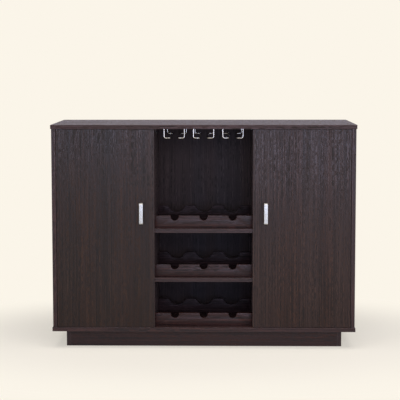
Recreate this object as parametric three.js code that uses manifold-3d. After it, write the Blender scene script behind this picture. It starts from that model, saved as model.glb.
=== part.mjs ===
// A low wine cabinet: two cupboards with inset doors on either side of an open bay, which has three rows
// of notched bottle rails and, under the top board, wire racks that stemmed glasses hang in by the foot.
// Lengths are millimetres, +Z is up, the front faces -Y, and the origin lies on the floor, midway
// between the ends and midway between the front and back edges of the top board.
import * as THREE from "three";
import { mergeVertices } from "three/addons/utils/BufferGeometryUtils.js";
import Module from "manifold-3d";

const wasm = await Module();
wasm.setup();

// Carcass
const cabinetWidth = 1200;
const cabinetDepth = 400;
const cabinetHeight = 890;
const boardThickness = 16;
const boardOverhang = 3; // the top and bottom boards pass the sides and doors by this much
const bayWidth = 388;
const backThickness = 3;
const backEdgeGap = 1;

// Plinth
const plinthHeight = 70;
const plinthInset = 50;
const plinthBackInset = 12;
const plinthBoardThickness = 16;

// Doors
const doorThickness = 16;
const doorEndGap = 2; // to the side panel
const doorTopGap = 1.5; // to the boards above and below
const doorLap = 15.5; // over the divider's front edge
const doorBackGap = 1; // to the divider's front edge

// Shelves
const rowHeight = 180; // clear height of the two lower bottle rows
const sideShelfLevel = 385; // underside above the bottom board
const sideShelfInset = 55; // behind the front edge of the side panel
const sideShelfEndGap = 0.5; // to the collars of its pins
const shelfBackGap = 1;

// Shelf pins and the row of holes that they are moved along
const pinRadius = 2.5;
const pinCollarRadius = 4;
const pinCollarThickness = 1.5;
const pinReach = 9; // out of the board, under the shelf
const pinDepth = 8; // into the board
const pinHoleClearance = 0.3;
const pinHoleExtraDepth = 2;
const pinHolePitch = 32;
const pinHolesAbove = 1;
const pinHolesBelow = 1;
const pinInset = 35; // from the shelf's front and back edges
const seatGap = 0.3; // between a round piece and what rests on it

// Bottle rails
const railThickness = 12;
const railEndGap = 0.3;
const bottlePitch = 115;
const bottlesPerRow = Math.floor(bayWidth / bottlePitch);
const neckRailHeight = 50;
const neckRailInset = 20; // behind the shelf's front edge
const neckRadius = 16;
const neckFloor = 30; // lowest point of the notch above the shelf
const neckShoulderRadius = 3;
const bodyRailHeight = 60;
const bodyRailDistance = 232; // from the front rail's face to the back rail's face
const bodyRadius = 38;
const bodyFloor = 34;
const bodyShoulderRadius = 14;

// Racks for stemmed glasses
const wireRadius = 2.3;
const wireBendRadius = 7;
const rackPitch = 116;
const racks = Math.floor(bayWidth / rackPitch);
const rackWidth = 80; // between the centre lines of a rack's hangers
const stemGap = 28; // between the centre lines of its two rails
const rackDrop = 38; // board to the rails' centre lines
const rackLength = 290;
const rackInset = 27; // front hangers behind the dividers' front edges
const wireSocketDepth = 11;
const wireEndGap = 1; // above a wire's end in its hole
const wireClearance = 0.3;

// Handles
const handleLength = 84;
const handleWidth = 15;
const handleReach = 26; // bar's face in front of the door
const handleBarThickness = 5;
const handleLegThickness = 8;
const handleCornerRadius = 11;
const handleInnerRadius = 5;
const handleBevel = 0.7;
const handleInset = 50; // from the door's free edge to the bar's middle
const handleLevel = 542; // above the floor

// Handle screws, put in from inside the door
const screwRadius = 2;
const screwClearance = 0.3;
const screwHeadRadius = 4.5;
const screwHeadHeight = 2.4;
const screwHeadCrown = 1.2; // the domed part of the head
const screwGrip = 7; // length in the handle's leg
const screwTipGap = 1;

// Concealed hinges. Pivots are given as the reach from the side panel's inner face and the depth behind
// the door's front face, with the door closed. The carrying link joins the carrying pivots and turns the
// door out of its opening; the steering link joins the steering pivots and has a slot at the door's end.
const hingeEndDistance = 100; // door's top or bottom edge to the hinge's middle
const carryingArmPivot = { reach: 44, depth: 24.3 };
const carryingCupPivot = { reach: 21.7, depth: 9.3 };
const steeringArmPivot = { reach: 44, depth: 36 };
const steeringCupPivot = { reach: 19.1, depth: 15.9 };
const steeringSlotLength = 3.2;
const steeringSlotRadius = 2.4;
const steeringSlotWall = 1.1;
const cupInset = 22.5; // door's edge to the cup's middle
const cupBoreRadius = 17.5;
const cupBoreDepth = 12;
const cupClearance = 0.3;
const cupWall = 1.2;
const cupFloor = 1;
const cupFloorGap = 0.5;
const cupWingWidth = 26;
const cupWingLength = 62;
const cupWingThickness = 1.2;
const pivotRadius = 1.3;
const pivotClearance = 0.3;
const linkEyeRadius = 2.9;
const linkThickness = 2.4;
const linkHeight = 5.6;
const linkGap = 0.9; // between the two links, one above the other
const armWallGap = 0.4; // between a link and the arm's wall
const armWallThickness = 1.6;
const armNoseRadius = 3.2;
const armBaseLength = 28;
const armWebStart = 12; // from the arm's pivots
const plateThickness = 2;
const plateLine = 37; // front edge of a board to the line of its fixing holes
const plateWingLength = 46;
const plateWingWidth = 14;

// Facets
const cutOverrun = 1;
const pinSides = 8;
const screwSides = 10;
const eyeSides = 12;
const cupSides = 24;
const wireSides = 8;
const bendSegments = 3;
const notchSegments = 14;
const shoulderSegments = 5;
const cornerSegments = 6;

// Planes and edges that several pieces share
const frontPlane = -cabinetDepth / 2 + boardOverhang;
const backPlane = cabinetDepth / 2;
const carcassBack = backPlane - backThickness;
const floorTop = plinthHeight + boardThickness;
const ceiling = cabinetHeight - boardThickness;
const sideOuter = cabinetWidth / 2 - boardOverhang;
const sideInner = sideOuter - boardThickness;
const dividerInner = bayWidth / 2;
const dividerOuter = dividerInner + boardThickness;
const doorBack = frontPlane + doorThickness;
const bayFront = doorBack + doorBackGap;
const lowerShelfBase = floorTop + rowHeight;
const upperShelfBase = lowerShelfBase + boardThickness + rowHeight;
const sideShelfBase = floorTop + sideShelfLevel;
const pinLevel = sideShelfBase - seatGap - pinRadius;
const handleHoleSpacing = handleLength - handleLegThickness;

// Finishes: colour, roughness, metalness
const finishes = {
  darkVeneer: [0x3b3033, 0.5, 0],
  hardboard: [0x342a2b, 0.7, 0],
  satinNickel: [0xc9ccd2, 0.35, 0.9],
  chromedWire: [0xd3d5da, 0.2, 1],
  platedSteel: [0xb4b6ba, 0.3, 0.9],
};

function finish(name) {
  const [color, roughness, metalness] = finishes[name];
  return new THREE.MeshStandardMaterial({ color, roughness, metalness });
}

function piece(name, geometry, finishName) {
  const mesh = new THREE.Mesh(geometry, finish(finishName));
  mesh.name = name;
  return mesh;
}

// Joins and cuts

function solidOf(geometry) {
  const bare = geometry.clone();
  bare.deleteAttribute("normal");
  bare.deleteAttribute("uv");
  const merged = mergeVertices(bare);
  return new wasm.Manifold(
    new wasm.Mesh({
      numProp: 3,
      vertProperties: new Float32Array(merged.getAttribute("position").array),
      triVerts: new Uint32Array(merged.index.array),
    }),
  );
}

function geometryOf(solid) {
  const { vertProperties, triVerts } = solid.getMesh();
  const geometry = new THREE.BufferGeometry();
  geometry.setAttribute("position", new THREE.BufferAttribute(vertProperties, 3));
  geometry.setIndex(new THREE.BufferAttribute(triVerts, 1));
  return geometry;
}

function carve(geometry, cutters) {
  const left = cutters.reduce((solid, cutter) => solid.subtract(solidOf(cutter)), solidOf(geometry));
  return geometryOf(left);
}

function fuse(geometries) {
  const [first, ...others] = geometries.map(solidOf);
  return geometryOf(others.reduce((solid, other) => solid.add(other), first));
}

// Basic forms, in place

function block([x0, x1], [y0, y1], [z0, z1]) {
  const size = new THREE.Vector3(x1 - x0, y1 - y0, z1 - z0);
  const middle = new THREE.Vector3(x0 + x1, y0 + y1, z0 + z1).divideScalar(2);
  const placing = new THREE.Matrix4().compose(middle, new THREE.Quaternion(), size);
  return new THREE.BoxGeometry(1, 1, 1).applyMatrix4(placing);
}

function board(name, x, y, z, holes = [], finishName = "darkVeneer") {
  const whole = block(x, y, z);
  return piece(name, holes.length ? carve(whole, holes) : whole, finishName);
}

// A round bar whose end faces lie at two points of a line along one axis.
function bar(radius, axis, from, to, at, sides = pinSides) {
  const geometry = new THREE.CylinderGeometry(radius, radius, Math.abs(to - from), sides);
  if (axis === "x") geometry.rotateZ(Math.PI / 2);
  if (axis === "z") geometry.rotateX(Math.PI / 2);
  const middle = new THREE.Vector3(...at);
  middle[axis] = (from + to) / 2;
  return geometry.translate(middle.x, middle.y, middle.z);
}

// A profile of [radius, distance] points turned round a line that leaves a point along one axis.
function turned(profile, axis, at, sides = pinSides) {
  const points = profile.map(([radius, along]) => new THREE.Vector2(radius, along));
  const geometry = new THREE.LatheGeometry(points, sides);
  if (axis === "x") geometry.rotateZ(-Math.PI / 2);
  if (axis === "-y") geometry.rotateX(Math.PI);
  return geometry.translate(...at);
}

// Points of an arc after its first one, which is where the outline has come to.
function arc(x, y, radius, from, to, count) {
  const points = [];
  for (let i = 1; i <= count; i++) {
    const angle = from + ((to - from) * i) / count;
    points.push([x + radius * Math.cos(angle), y + radius * Math.sin(angle)]);
  }
  return points;
}

function extruded(outline, depth, bevel = 0) {
  const shape = new THREE.Shape(outline.map(([x, y]) => new THREE.Vector2(x, y)));
  const bevels = { bevelEnabled: bevel > 0, bevelThickness: bevel, bevelSize: bevel, bevelSegments: 1 };
  return new THREE.ExtrudeGeometry(shape, { depth, steps: 1, ...bevels });
}

// Carcass boards

function pinHoles(face, inward) {
  const holes = [];
  const depth = pinDepth + pinHoleExtraDepth;
  for (const y of pinRows()) {
    for (let step = -pinHolesBelow; step <= pinHolesAbove; step++) {
      const at = [0, y, pinLevel + step * pinHolePitch];
      holes.push(bar(pinRadius + pinHoleClearance, "x", face - inward * cutOverrun, face + inward * depth, at));
    }
  }
  return holes;
}

function pinRows() {
  return [frontPlane + sideShelfInset + pinInset, carcassBack - shelfBackGap - pinInset];
}

function wireSockets() {
  const holes = [];
  for (const { x, y } of hangerPlaces()) {
    const top = ceiling + wireSocketDepth + wireEndGap;
    holes.push(bar(wireRadius + wireClearance, "z", ceiling - cutOverrun, top, [x, y, 0], wireSides));
  }
  return holes;
}

function carcass() {
  const group = new THREE.Group();
  const full = [-cabinetWidth / 2, cabinetWidth / 2];
  const bay = [-dividerInner, dividerInner];
  const inside = [bayFront, carcassBack];
  const levels = [floorTop, ceiling];
  const backPanelSpan = [-sideOuter + backEdgeGap, sideOuter - backEdgeGap];
  group.add(
    board("top_panel", full, [-backPlane, backPlane], [ceiling, cabinetHeight], wireSockets()),
    board("bottom_panel", full, [-backPlane, carcassBack], [plinthHeight, floorTop]),
    board("shelf_lower", bay, inside, [lowerShelfBase, lowerShelfBase + boardThickness]),
    board("shelf_upper", bay, inside, [upperShelfBase, upperShelfBase + boardThickness]),
    board("back_panel", backPanelSpan, [carcassBack, backPlane], [plinthHeight, ceiling], [], "hardboard"),
  );
  return group;
}

function plinth() {
  const group = new THREE.Group();
  const x = sideOuter + boardOverhang - plinthInset;
  const front = -backPlane + plinthInset;
  const back = carcassBack - plinthBackInset;
  const t = plinthBoardThickness;
  const between = [-x + t, x - t];
  const z = [0, plinthHeight];
  group.add(
    board("plinth_front", between, [front, front + t], z),
    board("plinth_back", between, [back - t, back], z),
    board("plinth_end_left", [-x, -x + t], [front, back], z),
    board("plinth_end_right", [x - t, x], [front, back], z),
    board("plinth_brace", [-t / 2, t / 2], [front + t, back - t], z),
  );
  return group;
}

// Bottle rails: a board with a round notch for each bottle and rounded shoulders between the notches.

function railOutline({ height, radius, floor, shoulder }) {
  const halfLength = dividerInner - railEndGap;
  const notchCentre = floor + radius;
  const shoulderCentre = height - shoulder;
  const rise = notchCentre - shoulderCentre;
  const spread = Math.sqrt((radius + shoulder) ** 2 - rise ** 2);
  const tilt = Math.atan2(rise, spread);
  const outline = [
    [-halfLength, 0],
    [-halfLength, height],
  ];
  for (let i = 0; i < bottlesPerRow; i++) {
    const x = (i - (bottlesPerRow - 1) / 2) * bottlePitch;
    outline.push(
      [x - spread, height],
      ...arc(x - spread, shoulderCentre, shoulder, Math.PI / 2, tilt, shoulderSegments),
      ...arc(x, notchCentre, radius, Math.PI + tilt, 2 * Math.PI - tilt, notchSegments),
      ...arc(x + spread, shoulderCentre, shoulder, Math.PI - tilt, Math.PI / 2, shoulderSegments),
    );
  }
  outline.push([halfLength, height], [halfLength, 0]);
  return outline;
}

function bottleRail(name, form, front, shelfTop) {
  const geometry = extruded(railOutline(form), railThickness).rotateX(Math.PI / 2);
  const mesh = piece(name, geometry, "darkVeneer");
  mesh.position.set(0, front + railThickness, shelfTop);
  return mesh;
}

function bottleRails() {
  const group = new THREE.Group();
  const neck = { height: neckRailHeight, radius: neckRadius, floor: neckFloor, shoulder: neckShoulderRadius };
  const body = { height: bodyRailHeight, radius: bodyRadius, floor: bodyFloor, shoulder: bodyShoulderRadius };
  const rows = {
    lower: floorTop,
    middle: lowerShelfBase + boardThickness,
    upper: upperShelfBase + boardThickness,
  };
  const neckFront = bayFront + neckRailInset;
  for (const [row, shelfTop] of Object.entries(rows)) {
    group.add(
      bottleRail(`bottle_rail_front_${row}`, neck, neckFront, shelfTop),
      bottleRail(`bottle_rail_back_${row}`, body, neckFront + bodyRailDistance, shelfTop),
    );
  }
  return group;
}

// Racks for stemmed glasses: each rail is one wire, bent at four corners, with both ends in the top board.

// A line through corners that are rounded, sampled at the straight ends and round each bend.
class BentWire extends THREE.Curve {
  constructor(corners, bendRadius) {
    super();
    this.stations = [corners[0]];
    for (let i = 1; i < corners.length - 1; i++) {
      const back = corners[i - 1].clone().sub(corners[i]).normalize();
      const ahead = corners[i + 1].clone().sub(corners[i]).normalize();
      const half = back.angleTo(ahead) / 2;
      const reach = bendRadius / Math.tan(half);
      const centre = back.clone().add(ahead).normalize().multiplyScalar(bendRadius / Math.sin(half)).add(corners[i]);
      const start = back.clone().multiplyScalar(reach).add(corners[i]).sub(centre);
      const end = ahead.clone().multiplyScalar(reach).add(corners[i]).sub(centre);
      const axis = start.clone().cross(end).normalize();
      for (let j = 0; j <= bendSegments; j++) {
        const turn = (start.angleTo(end) * j) / bendSegments;
        this.stations.push(start.clone().applyAxisAngle(axis, turn).add(centre));
      }
    }
    this.stations.push(corners.at(-1));
  }
  get steps() {
    return this.stations.length - 1;
  }
  getUtoTmapping(u) {
    return u;
  }
  getPoint(t, target = new THREE.Vector3()) {
    const place = Math.min(t * this.steps, this.steps);
    const i = Math.min(Math.floor(place), this.steps - 1);
    return target.lerpVectors(this.stations[i], this.stations[i + 1], place - i);
  }
  getTangent(t, target = new THREE.Vector3()) {
    const i = Math.round(t * this.steps);
    const from = this.stations[Math.max(i - 1, 0)];
    const at = this.stations[i];
    const to = this.stations[Math.min(i + 1, this.steps)];
    const arriving = at.clone().sub(from).normalize();
    const leaving = to.clone().sub(at).normalize();
    return target.addVectors(arriving, leaving).normalize();
  }
}

function circle(radius, sides) {
  const points = [];
  for (let i = 0; i < sides; i++) {
    const angle = (2 * Math.PI * i) / sides;
    points.push(new THREE.Vector2(radius * Math.cos(angle), radius * Math.sin(angle)));
  }
  return new THREE.Shape(points);
}

const rackFront = bayFront + rackInset;
const rackCentre = (i) => (i - (racks - 1) / 2) * rackPitch;

function hangerPlaces() {
  const places = [];
  for (let i = 0; i < racks; i++) {
    for (const side of [-1, 1]) {
      for (const y of [rackFront, rackFront + rackLength]) {
        places.push({ x: rackCentre(i) + (side * rackWidth) / 2, y });
      }
    }
  }
  return places;
}

function stemwareRail(name, centre, side) {
  const outer = centre + (side * rackWidth) / 2;
  const inner = centre + (side * stemGap) / 2;
  const top = ceiling + wireSocketDepth;
  const low = ceiling - rackDrop;
  const rackBack = rackFront + rackLength;
  const corners = [
    [outer, rackFront, top],
    [outer, rackFront, low],
    [inner, rackFront, low],
    [inner, rackBack, low],
    [outer, rackBack, low],
    [outer, rackBack, top],
  ].map((corner) => new THREE.Vector3(...corner));
  const wire = new BentWire(corners, wireBendRadius);
  const section = circle(wireRadius, wireSides);
  const geometry = new THREE.ExtrudeGeometry(section, { steps: wire.steps, extrudePath: wire });
  return piece(name, geometry, "chromedWire");
}

function stemwareRacks() {
  const group = new THREE.Group();
  for (let i = 0; i < racks; i++) {
    group.add(
      stemwareRail(`stemware_rail_${i + 1}_left`, rackCentre(i), -1),
      stemwareRail(`stemware_rail_${i + 1}_right`, rackCentre(i), 1),
    );
  }
  return group;
}

// Cupboards: the left one in place, the right one its mirror image.

function shelfPin(name, face, outward, y) {
  const profile = [
    [0, -pinDepth],
    [pinRadius, -pinDepth],
    [pinRadius, 0],
    [pinCollarRadius, 0],
    [pinCollarRadius, pinCollarThickness],
    [pinRadius, pinCollarThickness],
    [pinRadius, pinReach],
    [0, pinReach],
  ];
  const mesh = piece(name, turned(profile, "x", [0, 0, 0]), "platedSteel");
  mesh.position.set(face, y, pinLevel);
  if (outward < 0) mesh.rotation.z = Math.PI;
  return mesh;
}

function sideShelf(side) {
  const group = new THREE.Group();
  const endGap = pinCollarThickness + sideShelfEndGap;
  const x = [-sideInner + endGap, -dividerOuter - endGap];
  const y = [frontPlane + sideShelfInset, carcassBack - shelfBackGap];
  group.add(board(`side_shelf_${side}`, x, y, [sideShelfBase, sideShelfBase + boardThickness]));
  const [frontRow, backRow] = pinRows();
  group.add(
    shelfPin(`shelf_pin_${side}_outer_front`, -sideInner, 1, frontRow),
    shelfPin(`shelf_pin_${side}_outer_back`, -sideInner, 1, backRow),
    shelfPin(`shelf_pin_${side}_inner_front`, -dividerOuter, -1, frontRow),
    shelfPin(`shelf_pin_${side}_inner_back`, -dividerOuter, -1, backRow),
  );
  return group;
}

// The handle is a bar with two legs, cast in one piece and curved where they meet.
function handleOutline() {
  const half = handleLength / 2 - handleBevel;
  const reach = handleReach - handleBevel;
  const inner = half - handleLegThickness + 2 * handleBevel;
  const innerReach = reach - handleBarThickness + 2 * handleBevel;
  const big = handleCornerRadius;
  const small = handleInnerRadius;
  const quarter = Math.PI / 2;
  return [
    [-half, handleBevel],
    [-half, reach - big],
    ...arc(-half + big, reach - big, big, 2 * quarter, quarter, cornerSegments),
    [half - big, reach],
    ...arc(half - big, reach - big, big, quarter, 0, cornerSegments),
    [half, handleBevel],
    [inner, handleBevel],
    [inner, innerReach - small],
    ...arc(inner - small, innerReach - small, small, 0, quarter, cornerSegments),
    [-inner + small, innerReach],
    ...arc(-inner + small, innerReach - small, small, quarter, 2 * quarter, cornerSegments),
    [-inner, handleBevel],
  ];
}

// Turns an outline drawn along X, with its height along Y, to stand along Z and to reach towards -Y.
const standing = new THREE.Matrix4().makeBasis(
  new THREE.Vector3(0, 0, 1),
  new THREE.Vector3(0, -1, 0),
  new THREE.Vector3(1, 0, 0),
);

function handle(side, x) {
  const depth = handleWidth - 2 * handleBevel;
  const body = extruded(handleOutline(), depth, handleBevel);
  body.translate(0, 0, -depth / 2).applyMatrix4(standing);
  const holes = handleHoles().map((z) =>
    bar(screwRadius + screwClearance, "y", cutOverrun, -screwGrip - screwTipGap, [0, 0, z]),
  );
  const mesh = piece(`handle_${side}`, carve(body, holes), "satinNickel");
  mesh.position.set(x, frontPlane, handleLevel);
  return mesh;
}

function handleHoles() {
  return [-handleHoleSpacing / 2, handleHoleSpacing / 2];
}

function handleScrew(name, x, z) {
  const profile = [
    [0, -screwHeadHeight],
    [screwHeadRadius - screwHeadCrown, -screwHeadHeight],
    [screwHeadRadius, -screwHeadHeight + screwHeadCrown],
    [screwHeadRadius, 0],
    [screwRadius, 0],
    [screwRadius, doorThickness + screwGrip],
    [0, doorThickness + screwGrip],
  ];
  const mesh = piece(name, turned(profile, "-y", [0, 0, 0], screwSides), "platedSteel");
  mesh.position.set(x, doorBack, z);
  return mesh;
}

function door(side) {
  const group = new THREE.Group();
  const x = [-sideInner + doorEndGap, -dividerOuter + doorLap];
  const handleX = x[1] - handleInset;
  const cupX = x[0] + cupInset;
  const z = [floorTop + doorTopGap, ceiling - doorTopGap];
  const cupFront = doorBack - cupBoreDepth;
  const bores = hingeLevels().map((level) =>
    bar(cupBoreRadius, "y", cupFront, doorBack + cutOverrun, [cupX, 0, level], cupSides),
  );
  const screwHoles = handleHoles().map((level) =>
    bar(screwRadius + screwClearance, "y", frontPlane - cutOverrun, doorBack + cutOverrun, [
      handleX,
      0,
      handleLevel + level,
    ]),
  );
  const [low, high] = handleHoles();
  group.add(
    board(`door_${side}`, x, [frontPlane, doorBack], z, [...bores, ...screwHoles]),
    handle(side, handleX),
    handleScrew(`handle_screw_${side}_lower`, handleX, handleLevel + low),
    handleScrew(`handle_screw_${side}_upper`, handleX, handleLevel + high),
  );
  return group;
}

// Hinges: drawn round their middle, with X as the reach and Y as the depth.

function hingeLevels() {
  const span = doorTopGap + hingeEndDistance;
  return [floorTop + span, ceiling - span];
}

const linkFace = linkGap / 2;
const linkOuter = linkFace + linkHeight;
const armWallInner = linkOuter + armWallGap;
const armWallOuter = armWallInner + armWallThickness;

function hingeCup(name) {
  const outer = cupBoreRadius - cupClearance;
  const inner = outer - cupWall;
  const depth = cupBoreDepth - cupFloorGap;
  const middle = doorEndGap + cupInset;
  const profile = [
    [0, depth - cupFloor],
    [inner, depth - cupFloor],
    [inner, 0],
    [outer, 0],
    [outer, depth],
    [0, depth],
  ];
  const shell = turned(profile, "-y", [middle, doorThickness, 0], cupSides);
  const wings = block(
    [middle - cupWingWidth / 2, middle + cupWingWidth / 2],
    [doorThickness, doorThickness + cupWingThickness],
    [-cupWingLength / 2, cupWingLength / 2],
  );
  const wingTop = doorThickness + cupWingThickness + cutOverrun;
  const mouth = bar(inner, "y", doorThickness - cutOverrun, wingTop, [middle, 0, 0], cupSides);
  const pin = ({ reach, depth: y }, side) => {
    const anchor = Math.sqrt((inner + cupWall / 2) ** 2 - (reach - middle) ** 2);
    return bar(pivotRadius, "z", (side * linkGap) / 4, side * anchor, [reach, y, 0]);
  };
  const pins = [pin(carryingCupPivot, -1), pin(steeringCupPivot, 1)];
  return piece(name, fuse([shell, carve(wings, [mouth]), ...pins]), "platedSteel");
}

function armOutline() {
  const baseMiddle = plateLine + doorThickness;
  const front = baseMiddle - armBaseLength / 2;
  const back = baseMiddle + armBaseLength / 2;
  const low = carryingArmPivot;
  const high = steeringArmPivot;
  const frontNormal = Math.atan2(low.depth - front, low.reach) - Math.PI / 2;
  const backNormal = Math.atan2(back - high.depth, -high.reach) - Math.PI / 2;
  return [
    [plateThickness / 2, front],
    [low.reach + armNoseRadius * Math.cos(frontNormal), low.depth + armNoseRadius * Math.sin(frontNormal)],
    ...arc(low.reach, low.depth, armNoseRadius, frontNormal, 0, cornerSegments),
    [high.reach + armNoseRadius, high.depth],
    ...arc(high.reach, high.depth, armNoseRadius, 0, backNormal, cornerSegments),
    [plateThickness / 2, back],
  ];
}

function armWeb() {
  const back = plateLine + doorThickness + armBaseLength / 2;
  const tip = new THREE.Vector2(steeringArmPivot.reach, steeringArmPivot.depth + armNoseRadius);
  const base = new THREE.Vector2(plateThickness / 2, back);
  const end = tip.lerp(base, armWebStart / tip.distanceTo(base));
  const outline = [
    [base.x, base.y - armWallThickness],
    [end.x, end.y - armWallThickness],
    [end.x, end.y],
    [base.x, base.y],
  ];
  const depth = 2 * armWallInner + armWallThickness;
  return extruded(outline, depth).translate(0, 0, -depth / 2);
}

function hingeArm(name) {
  const wall = extruded(armOutline(), armWallThickness);
  const lowerWall = wall.clone().translate(0, 0, -armWallOuter);
  const upperWall = wall.clone().translate(0, 0, armWallInner);
  const baseMiddle = plateLine + doorThickness;
  const across = (size) => [baseMiddle - size / 2, baseMiddle + size / 2];
  const foot = block([0, plateThickness], across(armBaseLength), [-armWallOuter, armWallOuter]);
  const wingSpan = [-plateWingLength / 2, plateWingLength / 2];
  const wings = block([0, plateThickness], across(plateWingWidth), wingSpan);
  const pin = ({ reach, depth }, side) =>
    bar(pivotRadius, "z", (side * linkGap) / 4, side * (armWallInner + armWallThickness / 2), [reach, depth, 0]);
  const pins = [pin(carryingArmPivot, -1), pin(steeringArmPivot, 1)];
  return piece(name, fuse([foot, wings, armWeb(), lowerWall, upperWall, ...pins]), "platedSteel");
}

// A link lies between its two pivots; the eye at the door's end may be a slot that runs back along it.
function hingeLink(name, armPivot, cupPivot, [low, high], slot) {
  const from = new THREE.Vector2(armPivot.reach, armPivot.depth);
  const to = new THREE.Vector2(cupPivot.reach, cupPivot.depth);
  const length = from.distanceTo(to);
  const slotLength = slot ? steeringSlotLength : 0;
  const eyeRadius = slot ? steeringSlotRadius + steeringSlotWall : linkEyeRadius;
  const holeRadius = slot ? steeringSlotRadius : pivotRadius + pivotClearance;
  const strip = (half, start, end, z) => block([start, end], [-half, half], z);
  const z = [low, high];
  const cutSpan = [low - cutOverrun, high + cutOverrun];
  const round = (radius, x, [z0, z1]) => bar(radius, "z", z0, z1, [x, 0, 0], eyeSides);
  const body = [
    round(linkEyeRadius, 0, z),
    round(eyeRadius, length, z),
    strip(linkThickness / 2, 0, length - slotLength, z),
  ];
  const holes = [round(pivotRadius + pivotClearance, 0, cutSpan), round(holeRadius, length, cutSpan)];
  if (slot) {
    body.push(round(eyeRadius, length - slotLength, z), strip(eyeRadius, length - slotLength, length, z));
    holes.push(round(holeRadius, length - slotLength, cutSpan));
    holes.push(strip(holeRadius, length - slotLength, length, cutSpan));
  }
  const mesh = piece(name, carve(fuse(body), holes), "platedSteel");
  mesh.position.set(from.x, from.y, 0);
  mesh.rotation.z = to.sub(from).angle();
  return mesh;
}

function hinge(side, place, level) {
  const group = new THREE.Group();
  const tag = `${side}_${place}`;
  group.add(
    hingeCup(`hinge_cup_${tag}`),
    hingeArm(`hinge_arm_${tag}`),
    hingeLink(`hinge_carrying_link_${tag}`, carryingArmPivot, carryingCupPivot, [-linkOuter, -linkFace], false),
    hingeLink(`hinge_steering_link_${tag}`, steeringArmPivot, steeringCupPivot, [linkFace, linkOuter], true),
  );
  group.position.set(-sideInner, frontPlane, level);
  return group;
}

function cupboard(side) {
  const group = new THREE.Group();
  const z = [floorTop, ceiling];
  const panelHoles = pinHoles(-sideInner, -1);
  const dividerHoles = pinHoles(-dividerOuter, 1);
  const [lowHinge, highHinge] = hingeLevels();
  group.add(
    board(`side_panel_${side}`, [-sideOuter, -sideInner], [frontPlane, carcassBack], z, panelHoles),
    board(`divider_${side}`, [-dividerOuter, -dividerInner], [bayFront, carcassBack], z, dividerHoles),
    sideShelf(side),
    door(side),
    hinge(side, "lower", lowHinge),
    hinge(side, "upper", highHinge),
  );
  return group;
}

const leftCupboard = cupboard("left");
const rightCupboard = cupboard("right");
rightCupboard.scale.x = -1;

const root = new THREE.Group();
root.add(carcass(), plinth(), bottleRails(), stemwareRacks(), leftCupboard, rightCupboard);

export default root;
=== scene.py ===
"""The looks of a low wine cabinet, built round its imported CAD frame.

Lengths are in metres, +Z is up and the front faces -Y."""

import math

import bmesh
import bpy
from mathutils import Matrix, Vector
from mathutils.geometry import tessellate_polygon


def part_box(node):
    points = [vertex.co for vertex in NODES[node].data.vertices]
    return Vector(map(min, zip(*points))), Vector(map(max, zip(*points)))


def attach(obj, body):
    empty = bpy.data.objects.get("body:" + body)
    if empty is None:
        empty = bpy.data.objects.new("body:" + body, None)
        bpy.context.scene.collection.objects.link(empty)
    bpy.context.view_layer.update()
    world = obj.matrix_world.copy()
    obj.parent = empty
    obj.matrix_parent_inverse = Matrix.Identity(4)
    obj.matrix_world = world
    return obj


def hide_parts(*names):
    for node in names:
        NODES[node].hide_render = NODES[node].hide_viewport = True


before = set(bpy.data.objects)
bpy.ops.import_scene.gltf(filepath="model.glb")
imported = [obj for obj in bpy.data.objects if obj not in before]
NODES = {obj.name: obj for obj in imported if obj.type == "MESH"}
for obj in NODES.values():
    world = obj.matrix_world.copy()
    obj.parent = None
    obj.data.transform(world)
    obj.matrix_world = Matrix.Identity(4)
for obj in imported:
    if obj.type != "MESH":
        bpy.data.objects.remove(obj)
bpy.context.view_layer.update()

MM = 0.001
QUARTER = math.pi / 2
SHARP = math.radians(35)


# Camera: the photograph's place and angle

CAMERA_PLACE = Vector((0.0629, -4.5571, 1.1339))
CAMERA_DEGREES = (-1.002, 4.590, -0.068)
CAMERA_LENS, SENSOR_WIDTH, CAMERA_SHIFT = 100.64, 36, -0.12


def make_camera():
    yaw, pitch, roll = (math.radians(a) for a in CAMERA_DEGREES)
    ahead = Vector((math.sin(yaw) * math.cos(pitch), math.cos(yaw) * math.cos(pitch), -math.sin(pitch)))
    level = Vector((math.cos(yaw), -math.sin(yaw), 0))
    upright = level.cross(ahead)
    right = math.cos(roll) * level + math.sin(roll) * upright
    up = math.cos(roll) * upright - math.sin(roll) * level
    data = bpy.data.cameras.new("camera")
    data.sensor_fit = "HORIZONTAL"
    data.sensor_width = SENSOR_WIDTH
    data.lens = CAMERA_LENS
    data.shift_y = CAMERA_SHIFT
    data.clip_start, data.clip_end = 0.1, 60
    camera = bpy.data.objects.new("camera", data)
    bpy.context.scene.collection.objects.link(camera)
    turn = Matrix((right, up, -ahead)).transposed()
    camera.matrix_world = Matrix.Translation(CAMERA_PLACE) @ turn.to_4x4()
    bpy.context.scene.camera = camera


# Node trees

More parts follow.
